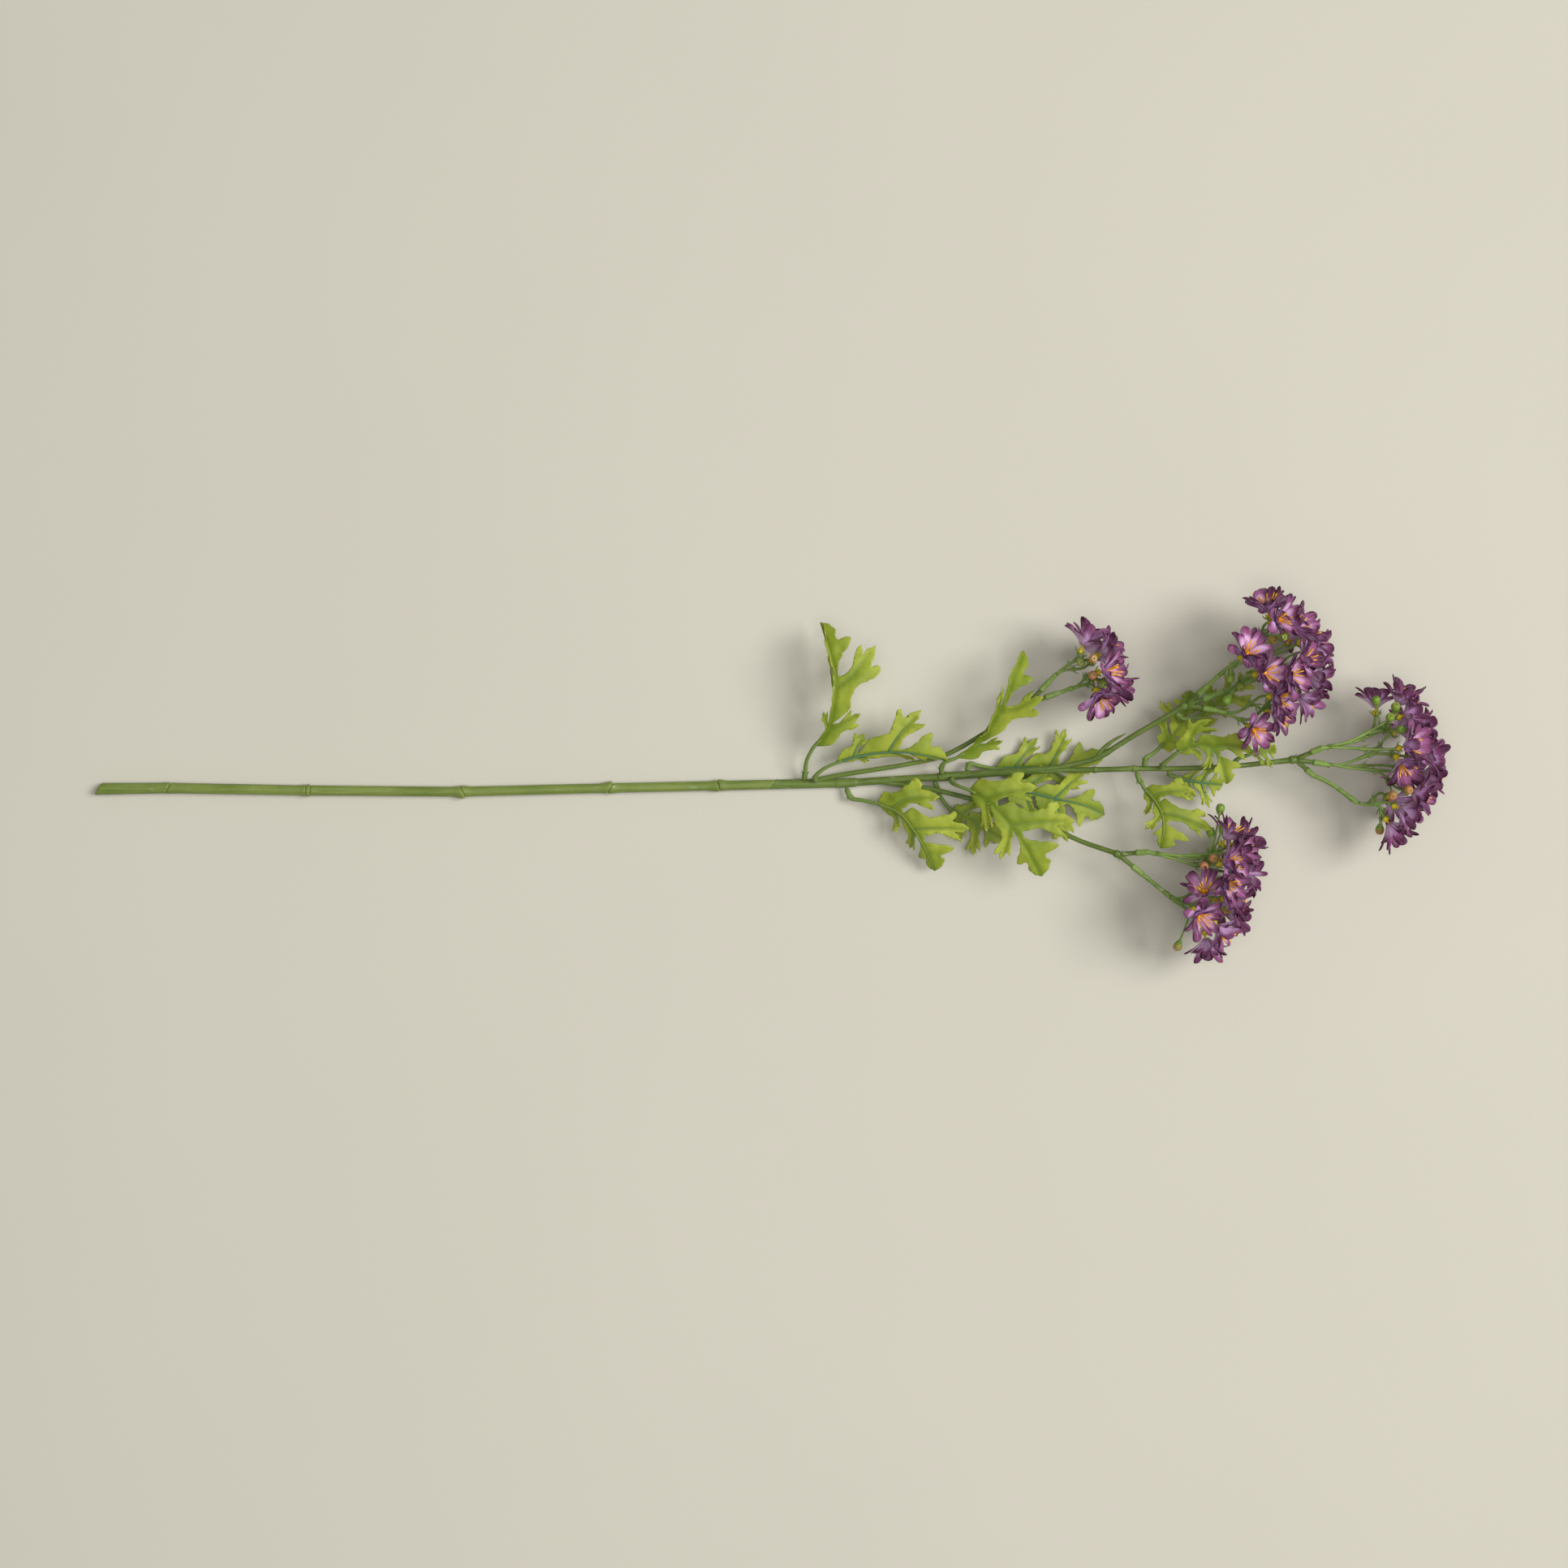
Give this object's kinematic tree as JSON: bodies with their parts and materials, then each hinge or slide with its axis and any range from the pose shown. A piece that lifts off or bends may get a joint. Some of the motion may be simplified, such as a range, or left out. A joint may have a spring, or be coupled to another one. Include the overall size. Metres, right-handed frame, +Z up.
{
  "type": "artificial flower stem",
  "caption": "Artificial flower stem lying down: a long cut stem, forked arms with toothed leaves, and clusters of small purple fabric florets on moulded stalks with berries.",
  "frame": {"origin": "middle of the box in plan, on the surface that the stem lies on", "axes": "+X from the cut end to the flower heads, +Z up from the surface"},
  "size_m": [0.695, 0.1949, 0.0691],
  "materials": {
    "stem": "semi-matt moulded mid-green plastic with fine scratches along it",
    "branch": "semi-matt moulded darker green plastic",
    "leaf": "soft matt moulded yellow-green plastic, darker along the veins",
    "pick": "semi-matt pale green moulded plastic, studs painted yellow, berries tinted green to orange",
    "petal": "thin woven purple fabric, lilac at the base and dusky purple at the tips",
    "stamen": "orange-yellow moulded plastic",
    "wire": "drawn steel wire"
  },
  "bodies": {
    "root": {"main_stem": "stem", "stem_wire": "wire", "branch_frame": "branch", "leaf_stem_upper": "leaf", "leaf_fork": "leaf", "leaf_arm_a": "leaf", "leaf_stem_lower": "leaf", "leaf_under": "leaf", "leaf_collar": "leaf", "leaf_back_lower": "leaf", "leaf_back_upper": "leaf", "leaf_arm_c_lower": "leaf", "leaf_arm_b_inner": "leaf", "leaf_arm_c_upper": "leaf", "leaf_arm_c_under": "leaf", "leaf_head_b": "leaf", "leaf_head_c": "leaf", "pick_a_1": "pick", "pick_a_2": "pick", "petals_a": "petal", "pick_b_1": "pick", "pick_b_2": "pick", "pick_b_3": "pick", "petals_b": "petal", "pick_c_1": "pick", "pick_c_2": "pick", "pick_c_3": "pick", "petals_c": "petal", "pick_d_1": "pick", "pick_d_2": "pick", "petals_d": "petal"}
  },
  "joints": []
}
